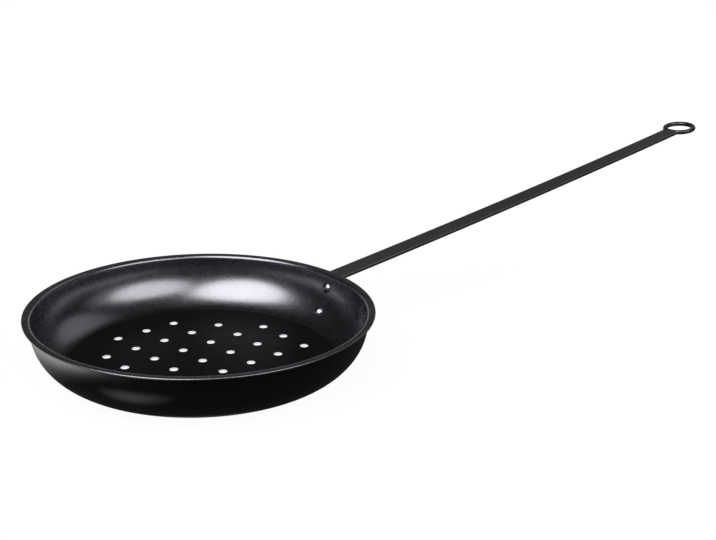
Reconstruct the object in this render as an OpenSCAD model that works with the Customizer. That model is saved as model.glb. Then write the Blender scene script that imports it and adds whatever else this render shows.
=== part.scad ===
// Long-handled chestnut roasting pan: a pressed sheet-steel bowl with a perforated base,
// a flat steel bar riveted to the wall, and a round-wire ring welded to the bar's far end.
// The origin is the middle of the resting face, +X runs along the handle and +Z is up.

/* [Bowl] */
// Diameter over the lip
rim_d = 280; // [220:1:340]
// Height from the resting face to the top of the lip
bowl_h = 47.5; // [38:0.5:70]
// Thickness of the bowl's sheet
sheet_t = 1.5; // [1:0.1:2]
// How far the lip stands out from the wall
lip_w = 5.5; // [4.5:0.5:9]
// Bend radius under the lip
lip_bend_r = 1.5; // [1:0.1:3]
// Upright stretch of wall between its quarter round and the lip
wall_straight = 4; // [0.5:0.5:8]

/* [Roasting holes] */
// Diameter of a hole
hole_d = 7; // [4:0.5:9]
// Spacing of the square grid of holes, which has one hole on the bowl's axis
hole_pitch = 28; // [18:0.5:36]
// Least flat base between a hole and the round of the wall
hole_margin = 1.5; // [1:0.5:20]

/* [Handle bar] */
// Width of the bar
bar_w = 18; // [14:0.5:24]
// Thickness of the bar
bar_t = 3; // [2:0.5:4]
// Inner radius of the bend where the bar leaves the wall
bar_bend_r = 3; // [2:0.5:6]
// Slope of the bar where it leaves the bowl, in degrees
bar_lift = 6.2; // [3:0.1:15]
// How many degrees steeper the bar is at the ring, from its slight upward curve
bar_curl = 1.9; // [0.5:0.1:6]
// Gap between the lip's edge and the bar below it
lip_gap = 1.1; // [0.5:0.1:3]
// How much larger than half the bar's width the round of the leg's tip is
tip_ease = 1; // [0.5:0.5:6]
// Distance from the bowl's axis to the centre of the ring
ring_reach = 660; // [300:5:900]

/* [Rivets] */
// Diameter of a rivet's shank
shank_d = 5; // [3:0.5:6]
// Diameter of a rivet's head
head_d = 9.5; // [7:0.5:11]
// Height of a rivet's domed head
head_h = 2.3; // [1.5:0.1:3]
// Drop from the top of the lip to the upper rivet, on the inside of the wall
upper_drop = 13.5; // [11:0.5:18]
// Distance between the rivets along the outside of the wall
rivet_pitch = 22.5; // [16:0.5:26]

/* [Hanging ring] */
// Diameter over the ring
ring_d = 36; // [28:1:60]
// Diameter of the ring's wire
wire_d = 5; // [3:0.5:8]

/* [Weld] */
// Gap between the ring and the bar's end that the weld fills
weld_root = 0.6; // [0.3:0.1:1.5]
// How far the weld's bead stands above the faces of the bar
weld_h = 0.7; // [0.4:0.1:1.2]
// How far short of the bar's sides the bead stops
weld_inset = 0.5; // [0.2:0.1:3]

/* [Fits] */
// Clearance all round a rivet's shank
shank_fit = 0.1; // [0.05:0.05:0.3]
// Clearance under a rivet's heads, and between the bar's leg and the wall
seat_fit = 0.05; // [0.02:0.01:0.2]

/* [Hidden] */
$fn = 96;

// Flats on each arc of the bar
arc_steps = 24;
// Overshoot of a cutting tool past the metal that it cuts
cut = 1;

rim_r = rim_d / 2;
wall_outer_r = rim_r - lip_w;
// The wall's quarter round fills the height that the lip and the upright stretch leave
wall_r = bowl_h - sheet_t - lip_bend_r - wall_straight;
base_r = wall_outer_r - wall_r;
wall_c = [base_r, wall_r];
wall_top = wall_r + wall_straight;

// Every hole that fits on the flat base is punched
hole_field_r = base_r - hole_margin - hole_d / 2;
hole_span = floor(hole_field_r / hole_pitch);

// The bar's leg follows the wall's round, then turns out under the lip to the long run.
// Directions are in degrees from +X in the plane of the handle.
leg_r = wall_r + seat_fit;
bar_turn_r = bar_bend_r + bar_t;
under_lip = [rim_r, bowl_h - sheet_t - lip_gap];
lip_offset = (wall_c[1] - under_lip[1]) * cos(bar_lift) + (under_lip[0] - wall_c[0]) * sin(bar_lift);
bend_on_leg = bar_lift + acos((lip_offset + bar_turn_r) / (leg_r + bar_turn_r));
// A bend that starts above the round has an upright stretch of leg below it
leg_top = min(90, bend_on_leg);
upright_x = wall_c[0] + leg_r + bar_turn_r;
upright_z = under_lip[1] - (rim_r - upright_x) * tan(bar_lift) - bar_turn_r / cos(bar_lift);
bend_c = bend_on_leg > 90
    ? [upright_x, upright_z]
    : wall_c + (leg_r + bar_turn_r) * heading(leg_top - 90);

// The run is a wide arc that steepens as far as the ring's centre, which lies on its middle line
run_middle = bend_c + (bar_bend_r + bar_t / 2) * heading(bar_lift + 90);
ring_lift = bar_lift + bar_curl;
run_r = (ring_reach - run_middle[0]) / (sin(ring_lift) - sin(bar_lift));
run_c = run_middle + run_r * heading(bar_lift + 90);
ring_z = run_c[1] - run_r * cos(ring_lift);
ring_r = (ring_d - wire_d) / 2;
cope_r = ring_d / 2 + weld_root;
bead_r = bar_t / 2 + weld_h;
bead_c = (ring_d + weld_root) / 2;
bead_angle = asin((bar_w / 2 - weld_inset) / (bead_c + bead_r));

// The rivets stand square to the wall's round, at these angles up from the base
inner_wall_r = wall_r - sheet_t;
upper_angle = acos((wall_r - bowl_h + upper_drop) / inner_wall_r);
lower_angle = upper_angle - rivet_pitch / wall_r * 180 / PI;
tip_r = bar_w / 2 + tip_ease;
leg_end = lower_angle - 2 * asin(tip_r / wall_r);
head_r = head_d / 2;
dome_r = (head_r * head_r + head_h * head_h) / (2 * head_h);
inner_seat = sqrt(inner_wall_r * inner_wall_r - head_r * head_r) - seat_fit;
outer_seat = leg_r + bar_t + seat_fit;

function heading(a) = [cos(a), sin(a)];

function arc_points(centre, r, from, to) =
    [for (i = [0 : arc_steps]) centre + r * heading(from + (to - from) * i / arc_steps)];

// A strip of metal bent to an arc round the origin, between two directions
module arc_strip(inner_r, outer_r, from, to) {
    far = 2 * outer_r / cos((to - from) / 2);
    intersection() {
        difference() {
            circle(r = outer_r);
            circle(r = inner_r);
        }
        polygon([[0, 0], far * heading(from), far * heading(to)]);
    }
}

// Stands a child up on the outside of the wall's round, with its Z axis square to the sheet
// and starting at the round's centre
module on_wall(angle) {
    translate([wall_c[0], 0, wall_c[1]]) rotate([0, 180 - angle, 0]) children();
}

// Places a child in the ring's own plane and at its centre
module at_ring() {
    translate([ring_reach, 0, ring_z]) rotate([0, -ring_lift, 0]) children();
}

// Half section of the bowl's sheet, from the axis out to the rounded edge of the lip
module bowl_section() {
    square([base_r, sheet_t]);
    translate(wall_c) arc_strip(inner_wall_r, wall_r, -90, 0);
    translate([wall_outer_r - sheet_t, wall_r]) square([sheet_t, wall_straight]);
    translate([wall_outer_r + lip_bend_r, wall_top])
        arc_strip(lip_bend_r, lip_bend_r + sheet_t, 90, 180);
    translate([wall_outer_r + lip_bend_r, bowl_h - sheet_t])
        square([lip_w - lip_bend_r - sheet_t / 2, sheet_t]);
    translate([rim_r - sheet_t / 2, bowl_h - sheet_t / 2]) circle(d = sheet_t);
}

module rivet_hole(angle) {
    on_wall(angle)
        translate([0, 0, inner_wall_r - cut])
            cylinder(d = shank_d + 2 * shank_fit, h = sheet_t + bar_t + 2 * cut);
}

module pan_bowl() {
    color("#16161a") difference() {
        rotate_extrude() bowl_section();
        for (i = [-hole_span : hole_span], j = [-hole_span : hole_span])
            if (norm([i, j]) * hole_pitch <= hole_field_r)
                translate([i * hole_pitch, j * hole_pitch, -cut])
                    cylinder(d = hole_d, h = sheet_t + 2 * cut);
        rivet_hole(upper_angle);
        rivet_hole(lower_angle);
    }
}

// Side view of the bar: up the leg and out along the top of the run, then back underneath
module bar_section() {
    polygon(concat(
        arc_points(wall_c, leg_r, leg_end - 90, leg_top - 90),
        arc_points(bend_c, bar_turn_r, leg_top + 90, bar_lift + 90),
        arc_points(run_c, run_r - bar_t / 2, bar_lift - 90, ring_lift - 90),
        arc_points(run_c, run_r + bar_t / 2, ring_lift - 90, bar_lift - 90),
        arc_points(bend_c, bar_bend_r, bar_lift + 90, leg_top + 90),
        arc_points(wall_c, leg_r + bar_t, leg_top - 90, leg_end - 90)
    ));
}

// What is cut away to leave the leg with a rounded tip about the lower rivet
module leg_corners() {
    on_wall(lower_angle) translate([0, 0, wall_r / 2]) difference() {
        translate([0, -2 * tip_r, 0]) cube([4 * tip_r, 4 * tip_r, wall_r]);
        translate([0, 0, -cut]) cylinder(r = tip_r, h = wall_r + 2 * cut);
    }
}

// The bar's end is hollowed to the curve of the ring
module bar_body() {
    difference() {
        rotate([90, 0, 0]) linear_extrude(bar_w, center = true) bar_section();
        leg_corners();
        at_ring() cylinder(r = cope_r, h = 2 * ring_d, center = true);
    }
}

module handle_bar() {
    color("#2f2f2e") difference() {
        bar_body();
        rivet_hole(upper_angle);
        rivet_hole(lower_angle);
    }
}

module ring_body() {
    at_ring() rotate_extrude() translate([ring_r, 0]) circle(d = wire_d);
}

module hanging_ring() {
    color("#252525") ring_body();
}

// One bead that fills the joint and rises a little above both faces of the bar
module ring_weld() {
    color("#2a2a2a") difference() {
        at_ring()
            rotate([0, 0, 180 - bead_angle])
                rotate_extrude(angle = 2 * bead_angle)
                    translate([bead_c, 0]) circle(r = bead_r);
        bar_body();
        ring_body();
    }
}

// Half section of a rivet's dome, with its flat face on the X axis and its crown above
module dome_section() {
    intersection() {
        translate([0, head_h - dome_r]) circle(r = dome_r);
        square([head_r, head_h]);
    }
}

// A solid rivet through the wall and the bar, with a domed head on each side
module rivet(angle) {
    color("#b4b7bb") on_wall(angle) rotate_extrude() {
        translate([0, inner_seat - head_h / 2])
            square([shank_d / 2, outer_seat - inner_seat + head_h]);
        translate([0, inner_seat]) mirror([0, 1]) dome_section();
        translate([0, outer_seat]) dome_section();
    }
}

module upper_rivet() {
    rivet(upper_angle);
}

module lower_rivet() {
    rivet(lower_angle);
}

pan_bowl();
handle_bar();
hanging_ring();
ring_weld();
upper_rivet();
lower_rivet();
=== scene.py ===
"""Looks of a long-handled chestnut roasting pan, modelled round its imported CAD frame."""
import math

import bmesh
import bpy
from mathutils import Matrix, Vector


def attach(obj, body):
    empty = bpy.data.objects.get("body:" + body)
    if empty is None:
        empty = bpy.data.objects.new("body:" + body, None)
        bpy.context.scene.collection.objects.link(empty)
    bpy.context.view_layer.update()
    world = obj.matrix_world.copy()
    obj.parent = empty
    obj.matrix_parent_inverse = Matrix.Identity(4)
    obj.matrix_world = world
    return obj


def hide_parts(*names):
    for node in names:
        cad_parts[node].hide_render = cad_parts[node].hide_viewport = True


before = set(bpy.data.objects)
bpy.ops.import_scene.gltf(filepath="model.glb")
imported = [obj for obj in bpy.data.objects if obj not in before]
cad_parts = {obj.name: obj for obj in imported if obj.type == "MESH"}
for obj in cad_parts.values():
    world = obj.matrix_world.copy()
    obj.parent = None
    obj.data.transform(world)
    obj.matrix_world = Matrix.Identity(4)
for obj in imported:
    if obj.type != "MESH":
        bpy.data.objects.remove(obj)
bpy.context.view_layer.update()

# Sizes of the pan, in metres, as in the part's source
MM = 0.001
RIM_R = 140 * MM
BOWL_H = 47.5 * MM
SHEET_T = 1.5 * MM
LIP_W = 5.5 * MM
LIP_BEND_R = 1.5 * MM
WALL_STRAIGHT = 4 * MM
HOLE_D = 7 * MM
HOLE_PITCH = 28 * MM
HOLE_FIELD_R = 89 * MM
HOLE_SPAN = 3
BAR_W = 18 * MM
BAR_T = 3 * MM
BAR_BEND_R = 3 * MM
BAR_LIFT = 6.2
BAR_CURL = 1.9
LIP_GAP = 1.1 * MM
TIP_EASE = 1 * MM
RING_REACH = 660 * MM
SHANK_R = 2.5 * MM
SHANK_FIT = 0.1 * MM
SEAT_FIT = 0.05 * MM
HEAD_R = 4.75 * MM
HEAD_H = 2.3 * MM
UPPER_DROP = 13.5 * MM
RIVET_PITCH = 22.5 * MM
RING_D = 36 * MM
WIRE_D = 5 * MM
WELD_ROOT = 0.6 * MM
WELD_H = 0.7 * MM
WELD_INSET = 0.5 * MM

# Rounded edges and the weld's bead, which only the render needs
EDGE_ROUND = 0.6 * MM
HEAD_EDGE_ROUND = 0.2 * MM
PUNCH_ROUND = 0.1 * MM
PUNCH_ROUND_MIDDLE = (0.3, 0.4)
WELD_RIPPLE = 0.05
WELD_TAPER = 0.6
WELD_TAPER_POWER = 6

# How far a cutter overshoots, and how close two points are before they count as one
CUT = 1 * MM
MERGE = 0.002 * MM

# Heights where the coating inside the bowl changes: its matt part ends, and its gloss comes up
MATT_RISE = 4.5 * MM
DULL_RISE = (3.5 * MM, 8 * MM)

# Painted sheen on the lacquer outside: more gloss high up under the lip, most of all at this
# bearing, so that it mirrors the floor brightly there. It goes from dull to glossy between two sums
# of the height and this share of the distance towards that bearing
SHEEN_SIDE = -110
SHEEN_LEAN = 0.55
SHEEN_RISE = (100 * MM, 110 * MM)

# A normal's upward part is under this on a hole's wall, and its sideways part is between these on
# the bar's rounded edges
HOLE_WALL_LEAN = 0.3
BAR_EDGE_LEAN = (0.2, 0.95)

# Places of the finishes on the bowl and the bar, after the first, which is everywhere else
MATT, OUTSIDE, PUNCHED = 1, 2, 3
BAR_EDGE = 1

# The photograph's camera: its place, its turn in degrees, its lens and sensor in millimetres,
# and the way round the bowl from which it looks, in degrees
CAMERA_PLACE = (-0.5138, -0.7476, 0.3896)
CAMERA_TURN = (71.106, -1.117, -42.042)
CAMERA_LENS = 60.17
CAMERA_SENSOR = 36
CAMERA_ROUND = -34.5

# The studio floor, in metres, with brightness where 1 is white: its paper, its glow near the pan
# and how that fades out to white
FLOOR_SIZE = 40
FLOOR_SHADE = 0.04
FLOOR_GRAIN = 0.01
FLOOR_GLOW = 0.96
FLOOR_FADE = (0.3, 0.9)

# What the pan mirrors of the floor, a glow that only reflections see: painted shade by the pan,
# painted light from so far to the left, a painted glint spot at a bearing and distance in front,
# and painted light right below a hole
SHADED_GLOW = 0.02
KEY_SIDE = (0.12, 0.2)
PAINTED_GLINT = (-153, 147 * MM)
PAINTED_GLINT_SIZE = (17 * MM, 46 * MM)
PAINTED_GLINT_FADE = (0.1, 1)
CLOSE_BY = (6 * MM, 10 * MM)

# The studio walls: how bright they are low down and high up, the upward part of a direction over
# which that fades, the share left on the camera's side, and the part of a direction away from the
# camera over which it comes up to all. Then the lamps' distance
WALL_LIGHT = 1
CEILING_LIGHT = 0.015
WALL_TOP_FADE = (0.07, 0.24)
NEAR_WALL = 0.03
FAR_WALL_FADE = (0.4, 0.9)
LAMP_AWAY = 2.5

# How finely the round shapes are drawn
BOWL_STEPS = 288
WALL_STEPS = 28
LIP_STEPS = 10
HOLE_SIDES = 32
LEG_STEPS = 28
BEND_STEPS = 14
RUN_STEPS = 24
RING_STEPS = 96
WIRE_SIDES = 28
RIVET_STEPS = 48
DOME_STEPS = 10
WELD_STEPS = 48
WELD_RIPPLE_STEPS = 4
EDGE_STEPS = 5
HEAD_EDGE_STEPS = 3

# Edges that turn by more than this are rounded, those that turn by less are shaded smooth, and a
# flat face's normal has at least this upward part
EDGE_ABOVE = math.radians(50)
HEAD_EDGE_ABOVE = math.radians(100)
SMOOTH_BELOW = math.radians(35)
FLAT = 0.9999


def side(x, z):
    """A point in the upright plane through the handle."""
    return Vector((x, 0, z))


def heading(degrees):
    """A direction in that plane, measured up from +X."""
    a = math.radians(degrees)
    return side(math.cos(a), math.sin(a))


def bearing_line(degrees):
    """A level direction as the camera sees it: 0 is straight away from it and 90 to its right."""
    a = math.radians(degrees - CAMERA_ROUND)
    return Vector((math.sin(a), math.cos(a), 0))


# The wall is a quarter round between the flat base and a short upright under the lip
WALL_OUTER_R = RIM_R - LIP_W
WALL_R = BOWL_H - SHEET_T - LIP_BEND_R - WALL_STRAIGHT
INNER_WALL_R = WALL_R - SHEET_T
BASE_R = WALL_OUTER_R - WALL_R
WALL_C = side(BASE_R, WALL_R)
WALL_TOP = WALL_R + WALL_STRAIGHT

# The rivets stand square to the wall, at these angles up from the base
UPPER_ANGLE = math.degrees(math.acos((WALL_R - BOWL_H + UPPER_DROP) / INNER_WALL_R))
LOWER_ANGLE = UPPER_ANGLE - math.degrees(RIVET_PITCH / WALL_R)

# The bar's leg lies on the wall, turns out under the lip and runs in a wide arc to the ring
LEG_R = WALL_R + SEAT_FIT
BAR_TURN_R = BAR_BEND_R + BAR_T
UNDER_LIP = side(RIM_R, BOWL_H - SHEET_T - LIP_GAP)
LIP_OFFSET = (WALL_C - UNDER_LIP).dot(heading(BAR_LIFT + 90))
LEG_TOP = BAR_LIFT + math.degrees(math.acos((LIP_OFFSET + BAR_TURN_R) / (LEG_R + BAR_TURN_R)))
BEND_C = WALL_C + (LEG_R + BAR_TURN_R) * heading(LEG_TOP - 90)
TIP_R = BAR_W / 2 + TIP_EASE
LEG_END = LOWER_ANGLE - 2 * math.degrees(math.asin(TIP_R / WALL_R))
RUN_START = BEND_C + (BAR_BEND_R + BAR_T / 2) * heading(BAR_LIFT + 90)
RING_LIFT = BAR_LIFT + BAR_CURL
RUN_R = (RING_REACH - RUN_START.x) / (heading(RING_LIFT).z - heading(BAR_LIFT).z)
RUN_C = RUN_START + RUN_R * heading(BAR_LIFT + 90)
RING_C = RUN_C + RUN_R * heading(RING_LIFT - 90)
RING_AXIS = heading(RING_LIFT + 90)
ALONG_RING = heading(RING_LIFT)


# Modelling by hand
def start_fresh():
    """Leaves nothing selected, so that an operator acts on the new piece alone."""
    if bpy.context.mode != "OBJECT":
        bpy.ops.object.mode_set(mode="OBJECT")
    bpy.ops.object.select_all(action="DESELECT")


def into_edit():
    """Fixes the new primitive's place in its mesh and opens it for editing."""
    bpy.ops.object.transform_apply(location=True, rotation=True, scale=True)
    bpy.ops.object.mode_set(mode="EDIT")


def out_of_edit(name):
    bpy.ops.object.mode_set(mode="OBJECT")
    piece = bpy.context.object
    piece.name = name
    piece.data.name = name
    return piece


def pen_down(point):
    """Starts a drawing: a small square merged into one point."""
    start_fresh()
    bpy.ops.mesh.primitive_plane_add(size=MM, location=point)
    into_edit()
    bpy.ops.mesh.select_mode(type="VERT")
    bpy.ops.mesh.merge(type="CENTER")


def pen_tip():
    drawing = bmesh.from_edit_mesh(bpy.context.edit_object.data)
    return next(v.co.copy() for v in drawing.verts if v.select)


def line_to(point):
    bpy.ops.mesh.extrude_region_move(TRANSFORM_OT_translate={"value": point - pen_tip()})


def arc_about(centre, degrees, steps):
    """Turns the selection round a centre, from +X towards +Z where degrees is positive."""
    bpy.ops.mesh.spin(steps=steps, angle=math.radians(degrees), center=centre, axis=(0, 1, 0))


def turn_round(centre, axis, steps):
    """Turns a finished section once round its axis into a closed skin."""
    bpy.ops.mesh.select_all(action="SELECT")
    bpy.ops.mesh.spin(steps=steps, angle=2 * math.pi, center=centre, axis=axis)
    bpy.ops.mesh.select_all(action="SELECT")
    bpy.ops.mesh.remove_doubles(threshold=MERGE)
    bpy.ops.mesh.normals_make_consistent(inside=False)


def pick(kind, wanted):
    """Selects only the wanted vertices, edges or faces of the piece being edited."""
    bpy.ops.mesh.select_mode(type=kind)
    bpy.ops.mesh.select_all(action="DESELECT")
    mesh = bmesh.from_edit_mesh(bpy.context.edit_object.data)
    for item in {"VERT": mesh.verts, "EDGE": mesh.edges, "FACE": mesh.faces}[kind]:
        if wanted(item):
            item.select = True
    mesh.select_flush_mode()
    bmesh.update_edit_mesh(bpy.context.edit_object.data)


def finish_with(piece, kind, **settings):
    """Adds a modifier to a piece and applies it."""
    start_fresh()
    bpy.context.view_layer.objects.active = piece
    piece.select_set(True)
    modifier = piece.modifiers.new(kind.title(), kind)
    for name, value in settings.items():
        setattr(modifier, name, value)
    bpy.ops.object.modifier_apply(modifier=modifier.name)


def round_edges(piece, width, steps, above):
    """Rounds the edges that turn by more than an angle."""
    finish_with(
        piece, "BEVEL", width=width, segments=steps, limit_method="ANGLE", angle_limit=above
    )


def cut_away(piece, cutter):
    finish_with(piece, "BOOLEAN", operation="DIFFERENCE", solver="EXACT", object=cutter)
    bpy.data.objects.remove(cutter)


def smooth(piece):
    """Smooth shading across the rounds, with the flats left flat."""
    start_fresh()
    bpy.context.view_layer.objects.active = piece
    piece.select_set(True)
    bpy.ops.object.shade_smooth_by_angle(angle=SMOOTH_BELOW)
    finish_with(piece, "WEIGHTED_NORMAL", keep_sharp=True)


def join_up(pieces):
    """Joins copies into the first of them."""
    start_fresh()
    for piece in pieces:
        piece.select_set(True)
    bpy.context.view_layer.objects.active = pieces[0]
    bpy.ops.object.join()
    return pieces[0]


# Pieces
def rivet_drill(angle):
    """A rod that drills a rivet's hole through the wall and the bar's leg."""
    out = heading(angle - 90)
    start_fresh()
    bpy.ops.mesh.primitive_cylinder_add(
        vertices=HOLE_SIDES,
        radius=SHANK_R + SHANK_FIT,
        depth=SHEET_T + BAR_T + 4 * CUT,
        location=WALL_C + (WALL_R + BAR_T / 2) * out,
        rotation=(0, math.pi - math.radians(angle), 0),
    )
    bpy.ops.object.transform_apply(location=True, rotation=True)
    return bpy.context.object


def hole_punches():
    """One punch with a flare that rounds the hole's edges, copied to every place on the grid."""
    r = HOLE_D / 2
    middle_out, middle_up = (share * PUNCH_ROUND for share in PUNCH_ROUND_MIDDLE)
    pen_down(side(0, -2 * CUT))
    line_to(side(r + CUT + PUNCH_ROUND, -CUT))
    line_to(side(r + PUNCH_ROUND, 0))
    line_to(side(r + middle_out, middle_up))
    line_to(side(r, PUNCH_ROUND))
    line_to(side(r, SHEET_T - PUNCH_ROUND))
    line_to(side(r + middle_out, SHEET_T - middle_up))
    line_to(side(r + PUNCH_ROUND, SHEET_T))
    line_to(side(r + CUT + PUNCH_ROUND, SHEET_T + CUT))
    line_to(side(0, SHEET_T + 2 * CUT))
    turn_round((0, 0, 0), (0, 0, 1), HOLE_SIDES)
    punch = out_of_edit("hole_punch")
    punches = []
    for i in range(-HOLE_SPAN, HOLE_SPAN + 1):
        for j in range(-HOLE_SPAN, HOLE_SPAN + 1):
            if math.hypot(i, j) * HOLE_PITCH > HOLE_FIELD_R:
                continue
            copy = punch.copy()
            copy.data = punch.data.copy()
            copy.data.transform(Matrix.Translation((i * HOLE_PITCH, j * HOLE_PITCH, 0)))
            bpy.context.collection.objects.link(copy)
            punches.append(copy)
    bpy.data.objects.remove(punch)
    return join_up(punches)


def make_bowl():
    """The sheet's section, drawn from the axis out along the underside and back inside."""
    lip_c = side(WALL_OUTER_R + LIP_BEND_R, WALL_TOP)
    edge_c = side(RIM_R - SHEET_T / 2, BOWL_H - SHEET_T / 2)
    pen_down(side(0, 0))
    line_to(side(BASE_R, 0))
    arc_about(WALL_C, 90, WALL_STEPS)
    line_to(side(WALL_OUTER_R, WALL_TOP))
    arc_about(lip_c, -90, LIP_STEPS)
    line_to(side(edge_c.x, BOWL_H - SHEET_T))
    arc_about(edge_c, 180, LIP_STEPS)
    line_to(side(lip_c.x, BOWL_H))
    arc_about(lip_c, 90, LIP_STEPS)
    line_to(side(WALL_OUTER_R - SHEET_T, WALL_R))
    arc_about(WALL_C, -90, WALL_STEPS)
    line_to(side(0, SHEET_T))
    turn_round((0, 0, 0), (0, 0, 1), BOWL_STEPS)
    for facing in (-1, 1):
        pick(
            "FACE",
            lambda f: f.normal.z * facing > FLAT and f.calc_center_median().z < 2 * SHEET_T,
        )
        bpy.ops.mesh.dissolve_faces()
    bowl = out_of_edit("bowl")
    cut_away(bowl, hole_punches())
    cut_away(bowl, rivet_drill(UPPER_ANGLE))
    cut_away(bowl, rivet_drill(LOWER_ANGLE))
    smooth(bowl)
    return bowl


def tip_cutter():
    """What is cut off the end of the leg to leave it round: a block with a round pulled out."""
    out = heading(LOWER_ANGLE - 90)
    down = heading(LOWER_ANGLE - 180)
    turn = (0, math.pi - math.radians(LOWER_ANGLE), 0)
    middle = WALL_C + LEG_R * out
    start_fresh()
    bpy.ops.mesh.primitive_cube_add(size=1, location=middle + 2 * TIP_R * down, rotation=turn)
    block = bpy.context.object
    block.scale = (4 * TIP_R, 4 * TIP_R, WALL_R)
    bpy.ops.object.transform_apply(location=True, rotation=True, scale=True)
    start_fresh()
    bpy.ops.mesh.primitive_cylinder_add(
        vertices=RING_STEPS, radius=TIP_R, depth=2 * WALL_R, location=middle, rotation=turn
    )
    bpy.ops.object.transform_apply(location=True, rotation=True)
    cut_away(block, bpy.context.object)
    return block


def ring_cope():
    """A rod across the bar's end, which hollows it to the curve of the ring."""
    start_fresh()
    bpy.ops.mesh.primitive_cylinder_add(
        vertices=4 * RING_STEPS,
        radius=RING_D / 2 + WELD_ROOT,
        depth=RING_D,
        location=RING_C,
        rotation=(0, -math.radians(RING_LIFT), 0),
    )
    bpy.ops.object.transform_apply(location=True, rotation=True)
    return bpy.context.object


def make_handle():
    """A rectangle of bar, turned up the leg, turned out under the lip and drawn to the ring. Its
    edges are rounded before it is cut."""
    start_fresh()
    bpy.ops.mesh.primitive_plane_add(
        size=1,
        location=WALL_C + (LEG_R + BAR_T / 2) * heading(LEG_END - 90),
        rotation=(0, math.radians(90 - LEG_END), 0),
    )
    bpy.context.object.scale = (BAR_T, BAR_W, 1)
    into_edit()
    bpy.ops.mesh.select_mode(type="FACE")
    arc_about(WALL_C, LEG_TOP - LEG_END, LEG_STEPS)
    arc_about(BEND_C, BAR_LIFT - LEG_TOP, BEND_STEPS)
    arc_about(RUN_C, BAR_CURL, RUN_STEPS)
    bpy.ops.mesh.select_all(action="SELECT")
    bpy.ops.mesh.remove_doubles(threshold=MERGE)
    bpy.ops.mesh.normals_make_consistent(inside=False)
    handle = out_of_edit("handle")
    round_edges(handle, EDGE_ROUND, EDGE_STEPS, EDGE_ABOVE)
    cut_away(handle, tip_cutter())
    cut_away(handle, ring_cope())
    cut_away(handle, rivet_drill(UPPER_ANGLE))
    cut_away(handle, rivet_drill(LOWER_ANGLE))
    smooth(handle)
    return handle


def make_ring():
    """A round of wire, turned once about the ring's own axis."""
    start_fresh()
    bpy.ops.mesh.primitive_circle_add(
        vertices=WIRE_SIDES,
        radius=WIRE_D / 2,
        location=RING_C + Vector((0, (RING_D - WIRE_D) / 2, 0)),
        rotation=(0, math.radians(90 - RING_LIFT), 0),
    )
    into_edit()
    turn_round(RING_C, RING_AXIS, RING_STEPS)
    ring = out_of_edit("ring")
    smooth(ring)
    return ring


def make_rivet(name, angle):
    """Half a rivet's section, turned about a line square to the wall."""
    out = heading(angle - 90)
    up = heading(angle)
    dome_r = (HEAD_R**2 + HEAD_H**2) / (2 * HEAD_H)
    dome_sweep = math.degrees(math.asin(HEAD_R / dome_r))
    inner_seat = math.sqrt(INNER_WALL_R**2 - HEAD_R**2) - SEAT_FIT
    outer_seat = LEG_R + BAR_T + SEAT_FIT

    def at(along, off):
        return WALL_C + along * out + off * up

    pen_down(at(inner_seat - HEAD_H, 0))
    arc_about(at(inner_seat - HEAD_H + dome_r, 0), -dome_sweep, DOME_STEPS)
    line_to(at(inner_seat, SHANK_R))
    line_to(at(outer_seat, SHANK_R))
    line_to(at(outer_seat, HEAD_R))
    arc_about(at(outer_seat + HEAD_H - dome_r, 0), -dome_sweep, DOME_STEPS)
    turn_round(WALL_C, out, RIVET_STEPS)
    rivet = out_of_edit(name)
    round_edges(rivet, HEAD_EDGE_ROUND, HEAD_EDGE_STEPS, HEAD_EDGE_ABOVE)
    smooth(rivet)
    return rivet


def make_weld():
    """A bead run along the joint, with a ripple for each pulse of the torch and tapering ends."""
    bead_c = (RING_D + WELD_ROOT) / 2
    bead_r = BAR_T / 2 + WELD_H
    half = math.asin((BAR_W / 2 - WELD_INSET) / (bead_c + bead_r))
    step = 2 * half / WELD_STEPS
    across = Vector((0, 1, 0))

    def outward(turn):
        return math.sin(turn) * across - math.cos(turn) * ALONG_RING

    def turn_of(point):
        arm = point - RING_C
        return math.atan2(arm.dot(across), -arm.dot(ALONG_RING))

    tangent = outward(-half).cross(RING_AXIS)
    facing = Matrix((outward(-half), RING_AXIS, tangent)).transposed()
    start_fresh()
    bpy.ops.mesh.primitive_circle_add(
        vertices=WIRE_SIDES,
        radius=bead_r,
        fill_type="NGON",
        location=RING_C + bead_c * outward(-half),
        rotation=facing.to_euler(),
    )
    into_edit()
    bpy.ops.mesh.select_mode(type="FACE")
    bpy.ops.mesh.spin(steps=WELD_STEPS, angle=2 * half, center=RING_C, axis=RING_AXIS)
    for i in range(WELD_STEPS + 1):
        turn = half * (2 * i / WELD_STEPS - 1)
        ripple = 1 + WELD_RIPPLE * math.cos(2 * math.pi * i / WELD_RIPPLE_STEPS)
        taper = math.sqrt(1 - WELD_TAPER * abs(turn / half) ** WELD_TAPER_POWER)
        pick("VERT", lambda v: abs(turn_of(v.co) - turn) < step / 10)
        bpy.ops.transform.resize(
            value=(ripple * taper,) * 3, center_override=RING_C + bead_c * outward(turn)
        )
    bpy.ops.mesh.select_all(action="SELECT")
    bpy.ops.mesh.normals_make_consistent(inside=False)
    weld = out_of_edit("weld")
    smooth(weld)
    return weld


# Finishes
def ink(code):
    """An sRGB hex colour as linear light."""
    parts = [int(code[i : i + 2], 16) / 255 for i in (1, 3, 5)]
    return [c / 12.92 if c <= 0.04045 else ((c + 0.055) / 1.055) ** 2.4 for c in parts] + [1]


def grey(value):
    return [value, value, value, 1]


def grains(size, detail=3):
    """Inputs for a noise whose even grains are about that many metres across."""
    return {"Scale": 1 / size, "Detail": detail, "Roughness": 0.55}


def fade(dark, light, low=0.3, high=0.7):
    """Setting for a ramp that runs between two shades as its input goes from low to high."""
    return {"color_ramp": ((low, dark), (high, light))}


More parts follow.
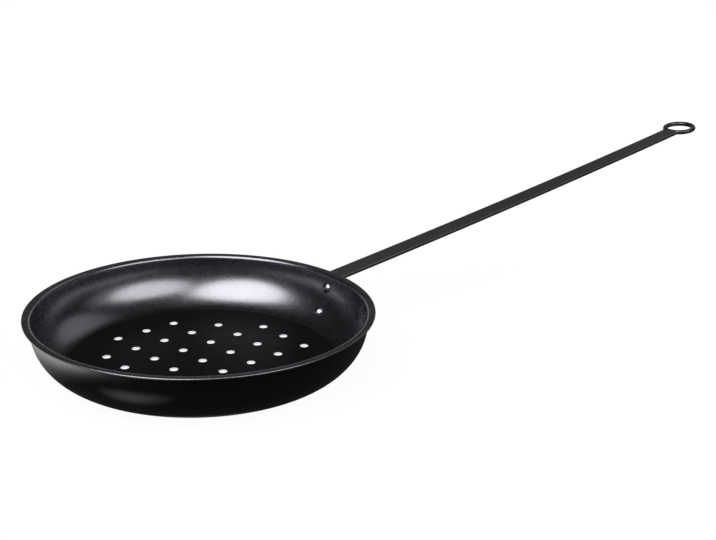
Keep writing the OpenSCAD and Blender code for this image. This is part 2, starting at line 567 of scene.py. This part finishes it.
def put(tree, kind, settings={}, **inputs):
    """Adds a node with its settings, and its inputs as values or as links from other nodes, from
    their first output where none is named."""
    made = tree.nodes.new("ShaderNode" + kind)
    for name, value in settings.items():
        if name == "color_ramp":
            for stop, (position, color) in zip(made.color_ramp.elements, value):
                stop.position, stop.color = position, color
        else:
            setattr(made, name, value)
    for name, value in inputs.items():
        socket = made.inputs[name.replace("_", " ")]
        if isinstance(value, bpy.types.Node):
            value = value.outputs[0]
        if isinstance(value, bpy.types.NodeSocket):
            tree.links.new(value, socket)
        else:
            socket.default_value = value
    return made


def new_finish(name):
    """An empty material, its node tree and the place on the piece that its patterns read."""
    material = bpy.data.materials.new(name)
    material.use_nodes = True
    tree = material.node_tree
    tree.nodes.clear()
    place = put(tree, "TexCoord").outputs["Object"]
    return material, tree, place


def nonstick_black():
    """Sprayed and baked non-stick coating: near black and satin, with a faint orange peel that
    softens the lamps' reflections into broad patches."""
    material, tree, place = new_finish("nonstick_coating_black")
    height = put(tree, "SeparateXYZ", Vector=place).outputs["Z"]
    peel = put(tree, "TexNoise", Vector=place, **grains(1.6 * MM))
    bump = put(tree, "Bump", Height=peel, Strength=0.02, Distance=0.15 * MM)
    flecks = put(tree, "TexNoise", Vector=place, **grains(0.8 * MM))
    tone = put(tree, "ValToRGB", fade(ink("#050506"), ink("#09090a")), Fac=flecks)
    clouds = put(tree, "TexNoise", Vector=place, **grains(9 * MM))
    satin = put(tree, "ValToRGB", fade(grey(0.255), grey(0.285)), Fac=clouds)
    gloss = put(tree, "ValToRGB", fade(grey(0.02), ink("#f5f5ff"), *DULL_RISE), Fac=height)
    shader = put(
        tree,
        "BsdfPrincipled",
        Base_Color=tone,
        Roughness=satin,
        IOR=2.0,
        Specular_IOR_Level=1.0,
        Specular_Tint=gloss,
        Normal=bump,
    )
    put(tree, "OutputMaterial", Surface=shader)
    return material


def matt_base():
    """The same coating on the flat base and the foot of the wall, where it sits thicker and dries
    matt."""
    material, tree, place = new_finish("nonstick_coating_matt")
    peel = put(tree, "TexNoise", Vector=place, **grains(1.2 * MM))
    bump = put(tree, "Bump", Height=peel, Strength=0.1, Distance=0.15 * MM)
    flecks = put(tree, "TexNoise", Vector=place, **grains(0.8 * MM))
    tone = put(tree, "ValToRGB", fade(ink("#09090b"), ink("#0e0e10")), Fac=flecks)
    clouds = put(tree, "TexNoise", Vector=place, **grains(9 * MM))
    matt = put(tree, "ValToRGB", fade(grey(0.4), grey(0.48)), Fac=clouds)
    shader = put(
        tree,
        "BsdfPrincipled",
        Base_Color=tone,
        Roughness=matt,
        Specular_IOR_Level=0.04,
        Normal=bump,
    )
    put(tree, "OutputMaterial", Surface=shader)
    return material


def stove_black():
    """Heat-proof black lacquer on the outside of the bowl: duller than the coating inside, with a
    painted sheen of more gloss high up under the lip on one side."""
    material, tree, place = new_finish("heat_proof_lacquer_black")
    sheen_reach = put(tree, "VectorMath", {"operation": "DOT_PRODUCT"}, Vector=place).outputs["Value"]
    sheen_reach.node.inputs[1].default_value = (
        Vector((0, 0, 1)) + SHEEN_LEAN * bearing_line(SHEEN_SIDE)
    )
    peel = put(tree, "TexNoise", Vector=place, **grains(1.2 * MM))
    bump = put(tree, "Bump", Height=peel, Strength=0.08, Distance=0.15 * MM)
    flecks = put(tree, "TexNoise", Vector=place, **grains(0.8 * MM))
    tone = put(tree, "ValToRGB", fade(ink("#020202"), ink("#070708")), Fac=flecks)
    clouds = put(tree, "TexNoise", Vector=place, **grains(7 * MM))
    satin = put(tree, "ValToRGB", fade(grey(0.2), grey(0.26)), Fac=clouds)
    # Painted sheen: the gloss rises high up under the lip towards one bearing, so the floor's
    # reflection shows there as a band
    gloss = put(tree, "ValToRGB", fade(grey(0.14), grey(1), *SHEEN_RISE), Fac=sheen_reach)
    shader = put(
        tree,
        "BsdfPrincipled",
        Base_Color=tone,
        Roughness=satin,
        IOR=2.0,
        Specular_IOR_Level=1.0,
        Specular_Tint=gloss,
        Normal=bump,
    )
    put(tree, "OutputMaterial", Surface=shader)
    return material


def punched_edge():
    """Bare steel inside the punched holes, bright from the punch."""
    material, tree, place = new_finish("punched_steel_bright")
    flecks = put(tree, "TexNoise", Vector=place, **grains(0.5 * MM))
    tone = put(tree, "ValToRGB", fade(ink("#d4d6d8"), ink("#eceef0")), Fac=flecks)
    tears = put(tree, "TexNoise", Vector=place, **grains(0.7 * MM))
    rough = put(tree, "ValToRGB", fade(grey(0.75), grey(0.85)), Fac=tears)
    shader = put(tree, "BsdfPrincipled", Base_Color=tone, Metallic=1.0, Roughness=rough)
    put(tree, "OutputMaterial", Surface=shader)
    return material


def powder_coat():
    """Fine-grained powder coating on the bar: dark grey and matt, with a small dry sparkle."""
    material, tree, place = new_finish("powder_coating_dark_grey")
    powder = put(tree, "TexNoise", Vector=place, **grains(0.9 * MM, detail=4))
    bump = put(tree, "Bump", Height=powder, Strength=0.2, Distance=0.12 * MM)
    flecks = put(tree, "TexNoise", Vector=place, **grains(1.1 * MM, detail=4))
    tone = put(tree, "ValToRGB", fade(ink("#252524"), ink("#313130")), Fac=flecks)
    clouds = put(tree, "TexNoise", Vector=place, **grains(3 * MM))
    dry = put(tree, "ValToRGB", fade(grey(0.28), grey(0.36)), Fac=clouds)
    shader = put(
        tree,
        "BsdfPrincipled",
        Base_Color=tone,
        Roughness=dry,
        Specular_IOR_Level=0.4,
        Normal=bump,
    )
    put(tree, "OutputMaterial", Surface=shader)
    return material


def drawn_edge():
    """The coating on the bar's rounded edges, where it is drawn thin and glossy."""
    material, tree, place = new_finish("powder_coating_edge_glossy")
    flecks = put(tree, "TexNoise", Vector=place, **grains(1.1 * MM))
    tone = put(tree, "ValToRGB", fade(ink("#20201f"), ink("#2c2c2b")), Fac=flecks)
    clouds = put(tree, "TexNoise", Vector=place, **grains(3 * MM))
    satin = put(tree, "ValToRGB", fade(grey(0.26), grey(0.34)), Fac=clouds)
    shader = put(
        tree,
        "BsdfPrincipled",
        Base_Color=tone,
        Roughness=satin,
        IOR=2.0,
        Specular_IOR_Level=1.0,
    )
    put(tree, "OutputMaterial", Surface=shader)
    return material


def wire_coat():
    """The same coating on the ring and its weld, where it flowed smoother and looks blacker."""
    material, tree, place = new_finish("powder_coating_black_smooth")
    powder = put(tree, "TexNoise", Vector=place, **grains(1.2 * MM))
    bump = put(tree, "Bump", Height=powder, Strength=0.15, Distance=0.12 * MM)
    flecks = put(tree, "TexNoise", Vector=place, **grains(1.1 * MM))
    tone = put(tree, "ValToRGB", fade(ink("#101010"), ink("#1a1a1a")), Fac=flecks)
    clouds = put(tree, "TexNoise", Vector=place, **grains(3 * MM))
    satin = put(tree, "ValToRGB", fade(grey(0.24), grey(0.32)), Fac=clouds)
    shader = put(
        tree,
        "BsdfPrincipled",
        Base_Color=tone,
        Roughness=satin,
        Specular_IOR_Level=0.8,
        Normal=bump,
    )
    put(tree, "OutputMaterial", Surface=shader)
    return material


def rivet_steel():
    """Headed stainless rivet: polished, with faint die marks that break its reflections."""
    material, tree, place = new_finish("stainless_steel_polished")
    marks = put(tree, "TexNoise", Vector=place, **grains(0.7 * MM))
    bump = put(tree, "Bump", Height=marks, Strength=0.08, Distance=0.1 * MM)
    flecks = put(tree, "TexNoise", Vector=place, **grains(2 * MM))
    tone = put(tree, "ValToRGB", fade(ink("#989a9e"), ink("#aeb0b4")), Fac=flecks)
    clouds = put(tree, "TexNoise", Vector=place, **grains(1.5 * MM))
    polish = put(tree, "ValToRGB", fade(grey(0.16), grey(0.24)), Fac=clouds)
    shader = put(
        tree,
        "BsdfPrincipled",
        Base_Color=tone,
        Metallic=1.0,
        Roughness=polish,
        Normal=bump,
    )
    put(tree, "OutputMaterial", Surface=shader)
    return material


def studio_floor():
    """Matt white paper. The camera sees it glow, so that it reads white, and the rest comes from
    the lamps, so that it keeps the pan's shadow. Reflections see a glow painted on it instead:
    painted shade round the pan, and painted light on its left side, in a glint spot in front and
    right below a hole."""
    material, tree, place = new_finish("white_paper")
    path = put(tree, "LightPath").outputs
    seen = put(tree, "Math", {"operation": "MAXIMUM"})
    tree.links.new(path["Is Camera Ray"], seen.inputs[0])
    tree.links.new(path["Is Glossy Ray"], seen.inputs[1])
    shown = put(tree, "Math", {"operation": "MAXIMUM"})
    tree.links.new(seen.outputs[0], shown.inputs[0])
    tree.links.new(path["Is Transmission Ray"], shown.inputs[1])
    away = put(tree, "VectorMath", {"operation": "LENGTH"}, Vector=place).outputs["Value"]
    open_glow = put(tree, "ValToRGB", fade(grey(FLOOR_GLOW), grey(1), *FLOOR_FADE), Fac=away)
    across = put(tree, "VectorMath", {"operation": "DOT_PRODUCT"}, Vector=place).outputs["Value"]
    across.node.inputs[1].default_value = bearing_line(-90)
    # Painted shade near the pan and painted light to its left, which only reflections see
    painted_key_glow = put(tree, "ValToRGB", fade(grey(SHADED_GLOW), grey(1), *KEY_SIDE), Fac=across)
    # A painted glint: a spot in front that glows only for reflections
    spot = PAINTED_GLINT[1] * bearing_line(PAINTED_GLINT[0])
    in_spot = put(
        tree,
        "Mapping",
        {"vector_type": "TEXTURE"},
        Vector=place,
        Location=spot,
        Rotation=(0, 0, math.atan2(spot.y, spot.x)),
        Scale=(*PAINTED_GLINT_SIZE, 1),
    )
    off_spot = put(tree, "VectorMath", {"operation": "LENGTH"}, Vector=in_spot).outputs["Value"]
    painted_glint_glow = put(tree, "ValToRGB", fade(grey(1), grey(0), *PAINTED_GLINT_FADE), Fac=off_spot)
    # Painted light right below a hole, which a hole's wall mirrors over a short ray
    painted_hole_glow = put(tree, "ValToRGB", fade(grey(1), grey(0), *CLOSE_BY), Fac=path["Ray Length"])
    mirrored = painted_key_glow
    for more in (painted_glint_glow, painted_hole_glow):
        mirrored = put(
            tree, "MixRGB", {"blend_type": "LIGHTEN"}, Fac=1, Color1=mirrored, Color2=more
        )
    near = put(tree, "MixRGB", Fac=path["Is Camera Ray"], Color1=mirrored, Color2=open_glow)
    glow = put(tree, "Math", {"operation": "MULTIPLY"})
    tree.links.new(shown.outputs[0], glow.inputs[0])
    tree.links.new(near.outputs[0], glow.inputs[1])
    fibres = put(tree, "TexNoise", Vector=place, **grains(4 * MM))
    tones = fade(grey(FLOOR_SHADE), grey(FLOOR_SHADE + FLOOR_GRAIN))
    paper = put(tree, "BsdfDiffuse", Color=put(tree, "ValToRGB", tones, Fac=fibres))
    light = put(tree, "Emission", Color=ink("#ffffff"), Strength=glow)
    both = put(tree, "AddShader")
    tree.links.new(paper.outputs[0], both.inputs[0])
    tree.links.new(light.outputs[0], both.inputs[1])
    put(tree, "OutputMaterial", Surface=both)
    return material


# The pan
bowl = make_bowl()
handle = make_handle()
ring = make_ring()
weld = make_weld()
upper_rivet = make_rivet("rivet_upper", UPPER_ANGLE)
lower_rivet = make_rivet("rivet_lower", LOWER_ANGLE)

# The bowl has one finish on the inner wall and the lip, one on the base inside and the foot of the
# wall, one outside, and bare steel in its holes
mouth = Vector((0, 0, BOWL_H))
for finish in (nonstick_black(), matt_base(), stove_black(), punched_edge()):
    bowl.data.materials.append(finish)
for face in bowl.data.polygons:
    if face.center.xy.length < BASE_R - CUT and abs(face.normal.z) < HOLE_WALL_LEAN:
        face.material_index = PUNCHED
    elif face.center.z < BOWL_H - SHEET_T and face.normal.dot(mouth - face.center) < 0:
        face.material_index = OUTSIDE
    elif face.center.z < MATT_RISE:
        face.material_index = MATT

# The bar's coating is glossier on the rounded edges of its run
for finish in (powder_coat(), drawn_edge()):
    handle.data.materials.append(finish)
for face in handle.data.polygons:
    if face.center.x > RIM_R and BAR_EDGE_LEAN[0] < abs(face.normal.y) < BAR_EDGE_LEAN[1]:
        face.material_index = BAR_EDGE

smooth_coat = wire_coat()
steel = rivet_steel()
for piece, finish, node, slot in (
    (bowl, None, "pan_bowl", "bowl_coating"),
    (handle, None, "handle_bar", "handle_coating"),
    (ring, smooth_coat, "hanging_ring", "handle_coating"),
    (weld, smooth_coat, "ring_weld", "handle_coating"),
    (upper_rivet, steel, "upper_rivet", "rivet_steel"),
    (lower_rivet, steel, "lower_rivet", "rivet_steel"),
):
    if finish:
        piece.data.materials.append(finish)
    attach(piece, "root")
    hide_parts(node)

# The studio
start_fresh()
bpy.ops.mesh.primitive_plane_add(size=FLOOR_SIZE)
floor = bpy.context.object
floor.name = "floor"
floor.data.materials.append(studio_floor())

# The walls are bright behind the pan and low down, and the camera sees white all round
world = bpy.data.worlds.new("studio")
bpy.context.scene.world = world
world.use_nodes = True
room = world.node_tree
room.nodes.clear()
towards = put(room, "TexCoord").outputs["Generated"]
upward = put(room, "SeparateXYZ", Vector=towards).outputs["Z"]
behind = put(room, "VectorMath", {"operation": "DOT_PRODUCT"}, Vector=towards).outputs["Value"]
behind.node.inputs[1].default_value = bearing_line(0)
low_glow = fade(grey(WALL_LIGHT), grey(CEILING_LIGHT), *WALL_TOP_FADE)
far_glow = fade(grey(NEAR_WALL), grey(1), *FAR_WALL_FADE)
walls = put(
    room,
    "MixRGB",
    {"blend_type": "MULTIPLY"},
    Fac=1,
    Color1=put(room, "ValToRGB", low_glow, Fac=upward),
    Color2=put(room, "ValToRGB", far_glow, Fac=behind),
)
seen = put(room, "LightPath").outputs["Is Camera Ray"]
backdrop = put(room, "MixRGB", Fac=seen, Color1=walls, Color2=grey(1))
put(room, "OutputWorld", Surface=put(room, "Background", Color=backdrop))


def softbox(name, bearing, height, width, tall, glow):
    """A round-faced lamp turned to the bowl. Bearing and height are in degrees, seen from the bowl,
    width and tall in metres, and glow is how bright its face is."""
    h = math.radians(height)
    towards = math.cos(h) * bearing_line(bearing) + Vector((0, 0, math.sin(h)))
    start_fresh()
    bpy.ops.object.light_add(type="AREA", location=LAMP_AWAY * towards)
    lamp = bpy.context.object
    lamp.name = name
    lamp.rotation_euler = towards.to_track_quat("Z", "Y").to_euler()
    lamp.data.shape = "ELLIPSE"
    lamp.data.size = width
    lamp.data.size_y = tall
    lamp.data.energy = glow * math.pi * math.pi / 4 * width * tall
    lamp.visible_camera = False


# Two bright lamps on the camera's side make the patches inside the bowl. The three dim ones stand
# to the right and behind
softbox("softbox_left", bearing=-138, height=52, width=2.58, tall=2.85, glow=4.7)
softbox("softbox_right", bearing=136, height=39, width=2.45, tall=1.82, glow=2.95)
softbox("softbox_spill", bearing=109, height=27, width=1.9, tall=1.3, glow=0.3)
softbox("softbox_back", bearing=47, height=36, width=1.7, tall=1.6, glow=0.48)
softbox("softbox_rear", bearing=0, height=41, width=1.5, tall=1.1, glow=0.16)

# The camera stands where the photograph was taken
bpy.ops.object.camera_add(location=CAMERA_PLACE, rotation=[math.radians(a) for a in CAMERA_TURN])
camera = bpy.context.object
camera.data.sensor_width = CAMERA_SENSOR
camera.data.lens = CAMERA_LENS
bpy.context.scene.camera = camera
bpy.context.scene.view_settings.view_transform = "Standard"
